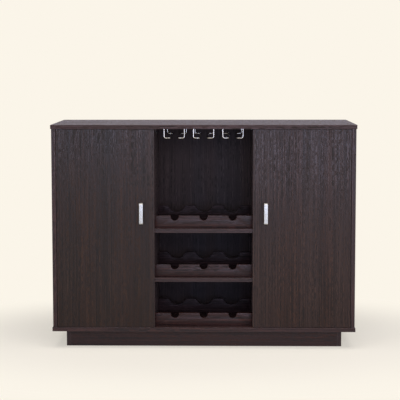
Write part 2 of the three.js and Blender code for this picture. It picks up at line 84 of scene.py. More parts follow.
class Tree:
    """Adds nodes to one node tree. An input is a number, a colour or another node's output socket."""

    def __init__(self, tree):
        self.tree = tree

    def add(self, kind, inputs=None, **settings):
        node = self.tree.nodes.new("ShaderNode" + kind)
        for key, value in settings.items():
            setattr(node, key, value)
        for key, value in (inputs or {}).items():
            self.feed(node.inputs[key], value)
        return node

    def feed(self, socket, value):
        if isinstance(value, bpy.types.NodeSocket):
            self.tree.links.new(value, socket)
        else:
            socket.default_value = value

    def math(self, operation, a, b=0.0, c=0.0, clamp=False):
        return self.add("Math", {0: a, 1: b, 2: c}, operation=operation, use_clamp=clamp).outputs[0]

    def ramp(self, value, low, high, to_low=0.0, to_high=1.0):
        inputs = {"Value": value, "From Min": low, "From Max": high, "To Min": to_low, "To Max": to_high}
        return self.add("MapRange", inputs, interpolation_type="SMOOTHSTEP").outputs[0]

    def noise(self, vector, scale, detail=2.0, roughness=0.5, distortion=0.0):
        inputs = {"Vector": vector, "Scale": scale, "Detail": detail, "Roughness": roughness,
                  "Distortion": distortion}
        return self.add("TexNoise", inputs).outputs[0]

    def stretched(self, vector, scale):
        return self.add("Mapping", {"Vector": vector, "Scale": scale}).outputs[0]

    def blend(self, factor, a, b, how="MIX"):
        mix = self.add("Mix", data_type="RGBA", blend_type=how)
        colours = [s for s in mix.inputs if s.type == "RGBA"]
        self.feed(mix.inputs[0], factor)
        self.feed(colours[0], a)
        self.feed(colours[1], b)
        return next(s for s in mix.outputs if s.type == "RGBA")


def colour(code):
    """A #rrggbb colour as linear values."""
    parts = [int(code[i:i + 2], 16) / 255 for i in (1, 3, 5)]
    return tuple(c / 12.92 if c <= 0.04045 else ((c + 0.055) / 1.055) ** 2.4 for c in parts) + (1.0,)


def new_material(name):
    material = bpy.data.materials.new(name)
    material.use_nodes = True
    material.node_tree.nodes.clear()
    return material, Tree(material.node_tree)


def finish_material(tree, shader):
    tree.add("OutputMaterial", {"Surface": shader.outputs[0]})


# Dark veneer: long soft bands, streaks, fine lines and short strokes with pores, all along the grain

VENEER_TONES = (colour("#1a0e0c"), colour("#2e1b19"), colour("#452c29"))
VENEER_STOPS = (0.22, 0.50, 0.80)
VENEER_EDGE = colour("#4c3c39")
VENEER_COOL = (0.90, 1.0, 1.08, 1.0)
VENEER_SWAY = 8 * MM
VENEER_RUBBED = 1.6 * MM
# Each layer of noise: how often it repeats in a metre along and across the grain, and its detail
BANDS, TINTS = (0.4, 22.0, 2.0), (0.3, 14.0, 1.0)
STREAKS, THREADS, LINES = (0.6, 85.0, 3.0), (2.0, 300.0, 1.0), (2.0, 600.0, 2.0)
PATCHES = (50.0, 140.0, 1.0)
BANDS_WEIGHT, STREAKS_WEIGHT, STROKES_WEIGHT, LINES_WEIGHT = 0.30, 0.40, 1.30, 1.10


def along(axis, length, across):
    """Scales for a pattern that repeats slowly along the grain and fast across it."""
    return tuple(length if a == axis else across for a in "xyz")


def edge_distance(tree, position, low, high):
    """How far a point of a box's surface is from the nearest of the box's edges."""
    middle = [(a + b) / 2 for a, b in zip(low, high)]
    half = [(b - a) / 2 for a, b in zip(low, high)]
    shifted = tree.add("VectorMath", {0: position, 1: middle}, operation="SUBTRACT").outputs[0]
    folded = tree.add("VectorMath", {0: shifted}, operation="ABSOLUTE").outputs[0]
    left = tree.add("VectorMath", {0: half, 1: folded}, operation="SUBTRACT").outputs[0]
    x, y, z = tree.add("SeparateXYZ", {0: left}).outputs
    total = tree.math("ADD", tree.math("ADD", x, y), z)
    most = tree.math("MAXIMUM", tree.math("MAXIMUM", x, y), z)
    least = tree.math("MINIMUM", tree.math("MINIMUM", x, y), z)
    return tree.math("SUBTRACT", tree.math("SUBTRACT", total, most), least)


def veneer(name, axis, box=None, shift=(0, 0, 0), contrast=1.0, rough=0.33, sheen=0.24,
           shade=(1.0, 1.0, 1.0), depth=1.0):
    """Straight dark grain along one axis, moved by shift so that no two boards look the same.

    Contrast and shade change its colours, rough and sheen its gloss. Depth scales what is felt of the
    grain: the relief and the changes of gloss. With a box, the box's edges are slightly rubbed."""
    tones = [tuple(c * s for c, s in zip(tone, shade)) + (1.0,) for tone in VENEER_TONES]
    material, tree = new_material(name)
    position = tree.add("TexCoord").outputs["Object"]
    moved = tree.add("VectorMath", {0: position, 1: shift}, operation="ADD").outputs[0]
    sway = tree.noise(tree.stretched(moved, along(axis, 2.0, 4.0)), 1.0, 1.0)
    sway = tree.math("MULTIPLY", tree.math("SUBTRACT", sway, 0.5), VENEER_SWAY)
    moved = tree.add("VectorMath", {0: moved, 1: sway}, operation="ADD").outputs[0]

    def grain(length, across, detail):
        return tree.noise(tree.stretched(moved, along(axis, length, across)), 1.0, detail, 0.55)

    bands, tints = grain(*BANDS), grain(*TINTS)
    streaks, threads, lines = grain(*STREAKS), grain(*THREADS), grain(*LINES)
    # Patches break the threads up into short strokes
    strength = tree.ramp(grain(*PATCHES), 0.35, 0.65, -0.7, 2.1)
    strokes = tree.math("MULTIPLY_ADD", tree.math("SUBTRACT", threads, 0.5), strength, 0.5)
    level = 0.5
    for layer, weight in ((bands, BANDS_WEIGHT), (streaks, STREAKS_WEIGHT),
                          (strokes, STROKES_WEIGHT), (lines, LINES_WEIGHT)):
        part = tree.math("MULTIPLY", tree.math("SUBTRACT", layer, 0.5), weight * contrast)
        level = tree.math("ADD", part, level)
    ramp = tree.add("ValToRGB", {0: level})
    stops = ramp.color_ramp.elements
    stops.new(VENEER_STOPS[1])
    for stop, at, tone in zip(stops, VENEER_STOPS, tones):
        stop.position, stop.color = at, tone
    cooler = tree.blend(1.0, ramp.outputs[0], VENEER_COOL, "MULTIPLY")
    shown = tree.blend(tree.ramp(tints, 0.38, 0.62), ramp.outputs[0], cooler)
    pores = tree.ramp(strokes, 0.30, 0.40, 1.0, 0.0)
    shown = tree.blend(tree.math("MULTIPLY", pores, 0.5), shown, tones[0])
    gloss = tree.ramp(strokes, 0.35, 0.65, rough + 0.18 * depth, rough - 0.10 * depth)
    dulled = tree.math("MULTIPLY", tree.math("SUBTRACT", 0.5, streaks), 0.05 * depth)
    gloss = tree.math("ADD", gloss, dulled)
    if box:
        edge = tree.ramp(edge_distance(tree, position, *box), 0.0, VENEER_RUBBED, 1.0, 0.0)
        patches = tree.ramp(tree.noise(moved, 22.0, 3.0, 0.6), 0.35, 0.7)
        worn = tree.math("MULTIPLY", edge, tree.math("MULTIPLY_ADD", patches, 0.55, 0.5), clamp=True)
        shown = tree.blend(worn, shown, VENEER_EDGE)
        gloss = tree.math("SUBTRACT", gloss, tree.math("MULTIPLY", worn, 0.08))
    relief = tree.math("ADD", tree.math("MULTIPLY", strokes, 0.5), tree.math("MULTIPLY", lines, 0.5))
    bump = tree.add("Bump", {"Strength": 0.6, "Distance": 0.5 * depth * MM, "Height": relief})
    shader = tree.add("BsdfPrincipled", {"Base Color": shown, "Roughness": gloss,
                                         "Normal": bump.outputs[0], "Specular IOR Level": sheen})
    finish_material(tree, shader)
    return material


def hardboard(name, rear):
    """Thin board for the back: the veneer print in front, plain pressed fibre behind y = rear."""
    # The print's colours are made lighter and cooler than the boards' veneer: painted light and cool sheen
    # on the back panel's face
    material = veneer(name, "z", shift=(0.37, 0, 0.21), contrast=0.36, rough=0.55, sheen=0.12,
                      shade=(1.3, 1.95, 2.1), depth=0.15)
    tree = Tree(material.node_tree)
    shader = next(n for n in material.node_tree.nodes if n.type == "BSDF_PRINCIPLED")
    position = tree.add("TexCoord").outputs["Object"]
    y = tree.add("SeparateXYZ", {0: position}).outputs[1]
    behind = tree.math("GREATER_THAN", y, rear)
    fibres = tree.noise(position, 260.0, 4.0, 0.7, 1.5)
    clouds = tree.noise(position, 7.0, 3.0, 0.6)
    felt = tree.blend(tree.ramp(fibres, 0.3, 0.7), colour("#33261f"), colour("#4d3b30"))
    felt = tree.blend(tree.math("MULTIPLY", tree.ramp(clouds, 0.3, 0.7), 0.4), felt, colour("#3a2b24"))
    printed = shader.inputs["Base Color"].links[0].from_socket
    tree.feed(shader.inputs["Base Color"], tree.blend(behind, printed, felt))
    gloss = shader.inputs["Roughness"].links[0].from_socket
    tree.feed(shader.inputs["Roughness"], tree.math("ADD", gloss, tree.math("MULTIPLY", behind, 0.2)))
    return material


def metal(name, base, rough, brushed=None, brushing=0.12):
    """A plated metal. Brushed is the axis along which fine scratches run."""
    material, tree = new_material(name)
    position = tree.add("TexCoord").outputs["Object"]
    smudges = tree.noise(position, 90.0, 3.0, 0.6)
    if brushed:
        scratches = tree.noise(tree.stretched(position, along(brushed, 60.0, 2600.0)), 1.0, 2.0, 0.6)
    else:
        scratches = tree.noise(position, 1500.0, 2.0, 0.5)
    dim = tuple(c * 0.82 for c in base[:3]) + (1.0,)
    shade = tree.blend(tree.ramp(smudges, 0.3, 0.7), base, dim)
    gloss = tree.ramp(scratches, 0.3, 0.7, rough - brushing / 2, rough + brushing / 2)
    bump = tree.add("Bump", {"Strength": 0.15, "Distance": 0.05 * MM, "Height": scratches})
    shader = tree.add("BsdfPrincipled", {"Base Color": shade, "Metallic": 1.0, "Roughness": gloss,
                                         "Normal": bump.outputs[0]})
    finish_material(tree, shader)
    return material


def plastic_material(name, base, rough):
    material, tree = new_material(name)
    position = tree.add("TexCoord").outputs["Object"]
    speckle = tree.noise(position, 700.0, 2.0, 0.5)
    darker = tuple(0.8 * c for c in base[:3]) + (1.0,)
    shade = tree.blend(speckle, base, darker)
    bump = tree.add("Bump", {"Strength": 0.2, "Distance": 0.05 * MM, "Height": speckle})
    gloss = tree.ramp(speckle, 0.3, 0.7, rough - 0.05, rough + 0.05)
    shader = tree.add("BsdfPrincipled", {"Base Color": shade, "Roughness": gloss,
                                         "Normal": bump.outputs[0]})
    finish_material(tree, shader)
    return material


# Stage: a pale floor that keeps the shadow and runs into the pale background, and soft lamps

BACKGROUND = colour("#fbf5e9")
FLOOR_HALF = 14.0
FLOOR_BOUNCE = (0.40, 0.38, 0.36, 1.0)
# The share of plain background in the floor near the object, the distances over which it grows to 1,
# and by how much a distance to the side counts less
FLOOR_PLAIN, FADE_START, FADE_END, FADE_ACROSS = 0.52, 0.42, 0.88, 0.6
WORLD_LIGHT = 0.18
COOL = (0.52, 0.65, 1.0)
# Each lamp's name, place, aim, size, watts and tint
LAMPS = [
    ("lamp_top", (0.1, -1.2, 3.8), (0, 0, 0.4), (3.6, 2.6), 95.0, (1.0, 0.97, 0.95)),
    ("lamp_front", (0.3, -4.8, 2.15), (0, 0, 0.6), (3.6, 0.9), 60.0, (0.86, 0.90, 1.0)),
    ("lamp_left", (-3.4, -3.6, 1.8), (0, -0.1, 0.5), (1.6, 1.4), 9.0, (1.0, 0.90, 0.80)),
    ("lamp_right", (3.4, -3.6, 1.3), (0, -0.1, 0.5), (1.6, 1.4), 54.0, (0.92, 0.90, 1.0)),
    ("lamp_low_left", (-1.0, -4.9, 0.8), (-0.4, 0, 0.7), (1.3, 0.7), 23.0, COOL),
    ("lamp_low_right", (0.85, -4.9, 0.7), (0.4, 0, 0.7), (1.5, 1.1), 40.0, COOL),
    ("lamp_floor", (0.0, -2.0, 0.03), (0.0, -2.0, 1.0), (3.6, 2.0), 7.0, (0.85, 0.85, 1.0)),
    ("lamp_back", (0.0, 4.5, 1.6), (0, 0, 0.9), (5.0, 1.6), 18.0, (0.25, 0.35, 1.0)),
]


def seen_rays(tree):
    """1 for what the camera sees, also in gloss or through glass, and 0 for light that falls on things."""
    path = tree.add("LightPath").outputs
    seen = tree.math("MAXIMUM", path["Is Camera Ray"], path["Is Glossy Ray"])
    return tree.math("MAXIMUM", seen, path["Is Transmission Ray"])


def make_floor():
    mesh = bpy.data.meshes.new("floor")
    corners = [(x * FLOOR_HALF, y * FLOOR_HALF, 0) for x, y in ((-1, -1), (1, -1), (1, 1), (-1, 1))]
    mesh.from_pydata(corners, [], [(0, 1, 2, 3)])
    floor = bpy.data.objects.new("floor", mesh)
    bpy.context.scene.collection.objects.link(floor)
    material, tree = new_material("floor")
    position = tree.add("TexCoord").outputs["Object"]
    narrowed = tree.stretched(position, (FADE_ACROSS, 1.0, 1.0))
    distance = tree.add("VectorMath", {0: narrowed}, operation="LENGTH").outputs["Value"]
    plainness = tree.ramp(distance, FADE_START, FADE_END, FLOOR_PLAIN, 1.0)
    lit = tree.add("BsdfDiffuse", {"Color": BACKGROUND})
    plain = tree.add("Emission", {"Color": BACKGROUND, "Strength": 1.0})
    shown = tree.add("MixShader", {0: plainness, 1: lit.outputs[0], 2: plain.outputs[0]})
    bounce = tree.add("BsdfDiffuse", {"Color": FLOOR_BOUNCE})
    shader = tree.add("MixShader", {0: seen_rays(tree), 1: bounce.outputs[0], 2: shown.outputs[0]})
    finish_material(tree, shader)
    mesh.materials.append(material)


def make_world():
    world = bpy.data.worlds.new("studio")
    bpy.context.scene.world = world
    world.use_nodes = True
    world.node_tree.nodes.clear()
    tree = Tree(world.node_tree)
    light = tree.add("Background", {"Color": (1.0, 1.0, 1.0, 1.0), "Strength": WORLD_LIGHT})
    shown = tree.add("Background", {"Color": BACKGROUND, "Strength": 1.0})
    mixed = tree.add("MixShader", {0: seen_rays(tree), 1: light.outputs[0], 2: shown.outputs[0]})
    tree.add("OutputWorld", {"Surface": mixed.outputs[0]})


def soft_lamp(name, place, aim, size, watts, tint):
    data = bpy.data.lights.new(name, "AREA")
    data.shape = "RECTANGLE"
    data.size, data.size_y = size
    data.energy = watts
    data.color = tint
    lamp = bpy.data.objects.new(name, data)
    bpy.context.scene.collection.objects.link(lamp)
    lamp.location = place
    lamp.rotation_euler = (Vector(aim) - Vector(place)).to_track_quat("-Z", "Y").to_euler()
    lamp.visible_camera = False


def make_stage():
    make_floor()
    make_world()
    for lamp in LAMPS:
        soft_lamp(*lamp)


# Mesh forms, each added to one bmesh

def circle(radius, sides, at=(0, 0)):
    turns = [2 * math.pi * i / sides for i in range(sides)]
    return [(at[0] + radius * math.cos(a), at[1] + radius * math.sin(a)) for a in turns]


def arc(x, y, radius, start, end, count):
    """Points of an arc after its first one."""
    angles = [start + (end - start) * i / count for i in range(1, count + 1)]
    return [(x + radius * math.cos(a), y + radius * math.sin(a)) for a in angles]


def around(count):
    """Each index of a closed loop with the one after it."""
    return [(i, (i + 1) % count) for i in range(count)]


def skin(bm, lower, upper):
    """Faces between two closed loops of equally many vertices."""
    return [bm.faces.new((lower[i], lower[j], upper[j], upper[i])) for i, j in around(len(lower))]


def facing(at, direction):
    """Puts local Z along a direction, with its origin at a point."""
    return Matrix.Translation(at) @ Vector(direction).to_track_quat("Z", "Y").to_matrix().to_4x4()


def add_lathe(bm, profile, sides, place=Matrix()):
    """Turns a profile of (radius, height) points round Z; a radius of 0 closes it with a point."""
    rows = []
    for radius, height in profile:
        if radius == 0:
            rows.append([bm.verts.new(place @ Vector((0, 0, height)))])
        else:
            rows.append([bm.verts.new(place @ Vector((x, y, height))) for x, y in circle(radius, sides)])
    for lower, upper in zip(rows, rows[1:]):
        if len(lower) == 1:
            for i, j in around(sides):
                bm.faces.new((lower[0], upper[j], upper[i]))
        elif len(upper) == 1:
            for i, j in around(sides):
                bm.faces.new((lower[i], lower[j], upper[0]))
        else:
            skin(bm, lower, upper)


def add_plate(bm, outline, holes, low, high, place=Matrix()):
    """A flat plate with holes, drawn in XY, between two heights."""
    loops = [outline] + holes
    points = [p for loop in loops for p in loop]
    triangles = tessellate_polygon([[Vector((x, y, 0)) for x, y in loop] for loop in loops])
    bottom = [bm.verts.new(place @ Vector((x, y, low))) for x, y in points]
    top = [bm.verts.new(place @ Vector((x, y, high))) for x, y in points]
    for a, b, c in triangles:
        bm.faces.new((top[a], top[b], top[c]))
        bm.faces.new((bottom[c], bottom[b], bottom[a]))
    first = 0
    for loop in loops:
        last = first + len(loop)
        skin(bm, bottom[first:last], top[first:last])
        first = last


def add_slab(bm, outline, low, high, place=Matrix(), rounding=0.0, steps=3):
    """A plate with no holes, whose sharp edges are rounded."""
    bottom = [bm.verts.new(place @ Vector((x, y, low))) for x, y in outline]
    top = [bm.verts.new(place @ Vector((x, y, high))) for x, y in outline]
    faces = [bm.faces.new(list(reversed(bottom))), bm.faces.new(top)] + skin(bm, bottom, top)
    bm.normal_update()
    if rounding:
        edges = {e for f in faces for e in f.edges if e.calc_face_angle(0) > SHARP}
        bmesh.ops.bevel(bm, geom=list(edges), offset=rounding, offset_type="OFFSET", segments=steps,
                        profile=0.5, affect="EDGES", clamp_overlap=True)


def add_box(bm, low, high, place=Matrix(), rounding=0.0):
    outline = [(low[0], low[1]), (high[0], low[1]), (high[0], high[1]), (low[0], high[1])]
    add_slab(bm, outline, low[2], high[2], place, rounding)


def add_tube(bm, path, radius, sides):
    """A round bar that follows a path."""
    rings = []
    normal = None
    for i, point in enumerate(path):
        before = path[max(i - 1, 0)]
        after = path[min(i + 1, len(path) - 1)]
        ahead = (after - before).normalized()
        if normal is None:
            normal = ahead.orthogonal().normalized()
        normal = (normal - normal.dot(ahead) * ahead).normalized()
        side = ahead.cross(normal)
        rings.append([bm.verts.new(point + x * normal + y * side) for x, y in circle(radius, sides)])
    for lower, upper in zip(rings, rings[1:]):
        skin(bm, lower, upper)
    bm.faces.new(list(reversed(rings[0])))
    bm.faces.new(rings[-1])


def rounded_path(corners, radius, steps):
    """A line through corners, with each corner turned into an arc."""
    path = [corners[0]]
    for before, corner, after in zip(corners, corners[1:], corners[2:]):
        back, ahead = (before - corner).normalized(), (after - corner).normalized()
        half = back.angle(ahead) / 2
        centre = corner + (back + ahead).normalized() * (radius / math.sin(half))
        start = corner + back * (radius / math.tan(half)) - centre
        end = corner + ahead * (radius / math.tan(half)) - centre
        sweep = start.angle(end)
        for i in range(steps + 1):
            t = i / steps
            turned = start * math.sin((1 - t) * sweep) + end * math.sin(t * sweep)
            path.append(centre + turned / math.sin(sweep))
    path.append(corners[-1])
    return path


def new_piece(name, bm, body, material, slot=None, stands_for=()):
    bmesh.ops.recalc_face_normals(bm, faces=bm.faces)
    mesh = bpy.data.meshes.new(name)
    bm.to_mesh(mesh)
    bm.free()
    mesh.shade_smooth()
    mesh.set_sharp_from_angle(angle=SHARP)
    mesh.materials.append(material)
    obj = bpy.data.objects.new(name, mesh)
    bpy.context.scene.collection.objects.link(obj)
    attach(obj, body)
    if stands_for:
        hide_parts(*stands_for)
    return obj


# Screws

SCREW_SIDES = 24


def add_cross_screw(bm, radius, height, place):
    """A pan head that rises along Z from its seat, with a cross recess."""
    rim, recess = 0.72 * radius, 0.35 * height
    loops = []
    for ring, z in ((radius, 0.0), (radius, 0.35 * height), (0.93 * radius, 0.75 * height), (rim, height)):
        loops.append([bm.verts.new(place @ Vector((x, y, z))) for x, y in circle(ring, SCREW_SIDES)])
    for lower, upper in zip(loops, loops[1:]):
        skin(bm, lower, upper)
    bm.faces.new(list(reversed(loops[0])))
    wide, long = 0.13 * radius, 0.5 * radius
    cross = [(wide, wide), (wide, long), (-wide, long), (-wide, wide), (-long, wide), (-long, -wide),
             (-wide, -wide), (-wide, -long), (wide, -long), (wide, -wide), (long, -wide), (long, wide)]
    mouth = [bm.verts.new(place @ Vector((x, y, height))) for x, y in cross]
    floor = [bm.verts.new(place @ Vector((0.8 * x, 0.8 * y, recess))) for x, y in cross]
    outline = [Vector((x, y, 0)) for x, y in circle(rim, SCREW_SIDES)]
    top = loops[-1] + mouth
    for a, b, c in tessellate_polygon([outline, [Vector((x, y, 0)) for x, y in cross]]):
        bm.faces.new((top[a], top[b], top[c]))
    skin(bm, mouth, floor)
    bm.faces.new(floor)


# CAD boards keep their shape and get a grain, a softened edge and a finish

GRAIN = {
    "x": ["top_panel", "bottom_panel", "shelf_lower", "shelf_upper", "side_shelf_left",
          "side_shelf_right", "plinth_front", "plinth_back"],
    "y": ["plinth_end_left", "plinth_end_right", "plinth_brace"],
    "z": ["side_panel_left", "side_panel_right", "divider_left", "divider_right",
          "door_left", "door_right"],
}
# The dividers' colours are made much lighter and bluer than the other boards': painted light and bluish
# reflection on the bay's side walls
DIVIDER_PAINTED_LIGHT_LOOK = {"shade": (1.9, 3.1, 3.5)}
BOARD_LOOKS = {
    "top_panel": {"rough": 0.5},
    "door_left": {"shade": (0.70, 0.77, 0.58), "rough": 0.29, "sheen": 0.20},
    # The right door's colours are lighter than the left door's: painted light, for the stronger light that
    # falls on the right door
    "door_right": {"shade": (0.96, 1.10, 0.88), "rough": 0.29, "sheen": 0.168},
    "divider_left": DIVIDER_PAINTED_LIGHT_LOOK,
    "divider_right": DIVIDER_PAINTED_LIGHT_LOOK,
    "plinth_front": {"shade": (0.85, 0.72, 0.66)},
}
BOARD_EDGE = 0.5 * MM


def soften(obj):
    weld = obj.modifiers.new("weld", "WELD")
    weld.merge_threshold = 0.002 * MM
    bevel = obj.modifiers.new("bevel", "BEVEL")
    bevel.width = BOARD_EDGE
    bevel.segments = 2
    bevel.limit_method = "ANGLE"
    bevel.angle_limit = SHARP


def dress(node, material):
    obj = NODES[node]
    obj.data.materials.clear()
    obj.data.materials.append(material)


def dress_boards():
    count = 0
    for axis, names in GRAIN.items():
        for name in names:
            count += 1
            shift = (0.173 * count, 0.291 * count, 0.117 * count)
            dress(name, veneer("veneer_" + name, axis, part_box(name), shift, **BOARD_LOOKS.get(name, {})))
            soften(NODES[name])
    low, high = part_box("back_panel")
    dress("back_panel", hardboard("hardboard", (low.y + high.y) / 2))


# Bottle rails: the CAD rails again, with finer notches and eased edges

ROWS = ("lower", "middle", "upper")
BOTTLE_PITCH = 115 * MM
NECK = {"radius": 16 * MM, "floor": 30 * MM, "shoulder": 3 * MM}
BODY = {"radius": 38 * MM, "floor": 34 * MM, "shoulder": 14 * MM}
FRONT_RAIL_LOOK = {"sheen": 0.18, "shade": (0.86, 0.74, 0.68), "contrast": 1.1}
# The back rails' colours are darkened and cooled: painted shade, for the shade they stand in at the back of
# the rows
BACK_RAIL_PAINTED_SHADE_LOOK = {"sheen": 0.05, "shade": (0.70, 0.85, 1.0), "contrast": 1.1}
RAIL_EDGE = 0.9 * MM


def rail_outline(half, height, radius, floor, shoulder):
    centre, top = floor + radius, height - shoulder
    rise = centre - top
    spread = math.sqrt((radius + shoulder) ** 2 - rise ** 2)
    tilt = math.atan2(rise, spread)
    outline = [(-half, 0.0), (-half, height)]
    for x in (-BOTTLE_PITCH, 0.0, BOTTLE_PITCH):
        outline.append((x - spread, height))
        outline += arc(x - spread, top, shoulder, QUARTER, tilt, 10)
        outline += arc(x, centre, radius, math.pi + tilt, 2 * math.pi - tilt, 40)
        outline += arc(x + spread, top, shoulder, math.pi - tilt, QUARTER, 10)
    return outline + [(half, height), (half, 0.0)]


def make_rails():
    """Each outline is drawn with local X along the row, local Y up and local Z towards the front."""
    for place, form, looks in (("front", NECK, FRONT_RAIL_LOOK), ("back", BODY, BACK_RAIL_PAINTED_SHADE_LOOK)):
        for i, row in enumerate(ROWS):
            node = f"bottle_rail_{place}_{row}"
            low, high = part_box(node)
            bm = bmesh.new()
            upright = Matrix.Translation((0, high.y, low.z)) @ Matrix.Rotation(QUARTER, 4, "X")
            outline = rail_outline(high.x, high.z - low.z, **form)
            add_slab(bm, outline, 0.0, high.y - low.y, upright, rounding=RAIL_EDGE)
            shift = (0.31 * i, 0.17, 0.43 * i)
            grain = veneer(f"veneer_{place}_rail_{row}", "x", None, shift, **looks)
            new_piece(f"rail_{place}_{row}", bm, "cabinet", grain, "dark_wood", [node])


# Stemware racks: smooth bent wires

WIRE_RADIUS, WIRE_BEND = 2.3 * MM, 7 * MM


def make_racks(chrome):
    radius = WIRE_RADIUS
    for i in (1, 2, 3):
        for side in ("left", "right"):
            node = f"stemware_rail_{i}_{side}"
            low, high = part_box(node)
            front, back = low.y + radius, high.y - radius
            level = low.z + radius
            outer, inner = (low.x, high.x) if side == "left" else (high.x, low.x)
            outer += math.copysign(radius, inner - outer)
            inner -= math.copysign(radius, inner - outer)
            corners = [(outer, front, high.z), (outer, front, level), (inner, front, level),
                       (inner, back, level), (outer, back, level), (outer, back, high.z)]
            bm = bmesh.new()
            add_tube(bm, rounded_path([Vector(c) for c in corners], WIRE_BEND, 10), radius, 20)
            new_piece(f"rack_wire_{i}_{side}", bm, "cabinet", chrome, "chromed_wire", [node])


# Handles and the screws that hold them

HANDLE_BAR, HANDLE_LEG = 5 * MM, 8 * MM
HANDLE_OUTER, HANDLE_INNER = 6 * MM, 3 * MM
HANDLE_EDGE = 1.0 * MM
SHANK_RADIUS, SHANK_END, SHANK_TAPER = 2 * MM, 1.2 * MM, 1 * MM


def handle_outline(length, reach):
    half, inside, under = length / 2, length / 2 - HANDLE_LEG, reach - HANDLE_BAR
    outer, inner = HANDLE_OUTER, HANDLE_INNER
    points = [(-half, 0.0), (-half, reach - outer)]
    points += arc(-half + outer, reach - outer, outer, 2 * QUARTER, QUARTER, 14)
    points += [(half - outer, reach)]
    points += arc(half - outer, reach - outer, outer, QUARTER, 0.0, 14)
    points += [(half, 0.0), (inside, 0.0), (inside, under - inner)]
    points += arc(inside - inner, under - inner, inner, 0.0, QUARTER, 8)
    points += [(-inside + inner, under)]
    points += arc(-inside + inner, under - inner, inner, QUARTER, 2 * QUARTER, 8)
    return points + [(-inside, 0.0)]


def make_handles(nickel, plated):
    """The handle's outline is drawn with local X up the door, local Y out of it and local Z across it."""
    for side in ("left", "right"):
        node = f"handle_{side}"
        low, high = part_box(node)
        bm = bmesh.new()
        outline = handle_outline(high.z - low.z, high.y - low.y)
        middle = (low.z + high.z) / 2
        stand = Matrix(((0, 0, 1, 0), (0, -1, 0, high.y), (1, 0, 0, middle), (0, 0, 0, 1)))
        add_slab(bm, outline, low.x, high.x, stand, rounding=HANDLE_EDGE, steps=4)
        new_piece(f"door_handle_{side}", bm, f"door_{side}", nickel, "satin_nickel", [node])
        for place in ("lower", "upper"):
            node = f"handle_screw_{side}_{place}"
            tip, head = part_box(node)
            x, z = (tip.x + head.x) / 2, (tip.z + head.z) / 2
            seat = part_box(f"door_{side}")[1].y
            length = seat - tip.y
            bm = bmesh.new()
            add_cross_screw(bm, (head.z - tip.z) / 2, head.y - seat, facing((x, seat, z), (0, 1, 0)))
            shank = [(0, 0.0), (SHANK_RADIUS, 0.0), (SHANK_RADIUS, length - SHANK_TAPER),
                     (SHANK_END, length), (0, length)]
            add_lathe(bm, shank, 16, facing((x, seat, z), (0, -1, 0)))
            new_piece(f"screw_{side}_{place}", bm, f"door_{side}", plated, "plated_steel", [node])


# Shelf pins

PIN_RADIUS, PIN_DEPTH, PIN_EDGE, PIN_TIP = 2.5 * MM, 8 * MM, 0.4 * MM, 0.6 * MM
COLLAR_RADIUS, COLLAR_THICK, COLLAR_EDGE = 4 * MM, 1.5 * MM, 0.3 * MM


def pin_profile(length):
    """From the end in the board, over the collar that rests on its face, to the end under the shelf."""
    collar_end = PIN_DEPTH + COLLAR_THICK
    return [(0, 0.0), (PIN_RADIUS - PIN_EDGE, 0.0), (PIN_RADIUS, PIN_EDGE), (PIN_RADIUS, PIN_DEPTH),
            (COLLAR_RADIUS, PIN_DEPTH), (COLLAR_RADIUS, collar_end - COLLAR_EDGE),
            (COLLAR_RADIUS - COLLAR_EDGE, collar_end), (PIN_RADIUS, collar_end),
            (PIN_RADIUS, length - PIN_TIP), (PIN_RADIUS - PIN_TIP, length), (0, length)]


def make_pins(plated):
    for side in ("left", "right"):
        for end in ("outer", "inner"):
            outward = (1 if end == "outer" else -1) * (1 if side == "left" else -1)
            for place in ("front", "back"):
                node = f"shelf_pin_{side}_{end}_{place}"
                low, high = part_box(node)
                start = low.x if outward > 0 else high.x
                middle = (low + high) / 2
                bm = bmesh.new()
                seat = facing((start, middle.y, middle.z), (outward, 0, 0))
                add_lathe(bm, pin_profile(high.x - low.x), 24, seat)
                new_piece(f"pin_{side}_{end}_{place}", bm, "cabinet", plated, "plated_steel", [node])


# Concealed hinges, drawn round their middle: X is the reach from the side panel's inner face, Y the depth
# behind the door's front face and Z the height

# Each link's pivots, in the arm and in the cup
CARRYING = ((44 * MM, 24.3 * MM), (21.7 * MM, 9.3 * MM))
STEERING = ((44 * MM, 36 * MM), (19.1 * MM, 15.9 * MM))
# The steering link's eye is slotted, because fixed ratios follow the true linkage closely, not exactly
SLOT_LENGTH, SLOT_RADIUS, SLOT_EYE = 3.2 * MM, 2.4 * MM, 3.5 * MM
PIVOT_RADIUS, PIVOT_EDGE = 1.3 * MM, 0.2 * MM
EYE_RADIUS, EYE_HOLE, LINK_HALF = 2.9 * MM, 1.6 * MM, 1.2 * MM
LINK_INNER, LINK_OUTER = 0.45 * MM, 6.05 * MM
WALL_INNER, WALL_OUTER = 6.45 * MM, 8.05 * MM
CUP_MIDDLE, CUP_INNER, CUP_OUTER, CUP_DEPTH = 24.5 * MM, 16.1 * MM, 17.3 * MM, 11.5 * MM
CUP_ROUNDING, CUP_FLOOR = 1.4 * MM, 1 * MM
DOOR_BACK = 16 * MM
EAR_HALF, EAR_END, EAR_THICK, EAR_SCREW, EAR_CORNER = 13 * MM, 31 * MM, 1.2 * MM, 24 * MM, 8 * MM
BASE_MIDDLE, BASE_HALF, BASE_THICK = 53 * MM, 14 * MM, 2 * MM
PLATE_HALF_WIDTH, PLATE_HALF_HEIGHT, PLATE_CORNER, PLATE_SCREW = 7 * MM, 23 * MM, 5 * MM, 16 * MM
NOSE_RADIUS = 3.2 * MM
WEB_START = 12 * MM
RIVET_RADIUS, RIVET_FACE, RIVET_HEIGHT = 2.1 * MM, 1.6 * MM, 0.5 * MM
EAR_EDGE, SHEET_EDGE, BASE_EDGE = 0.25 * MM, 0.3 * MM, 0.4 * MM
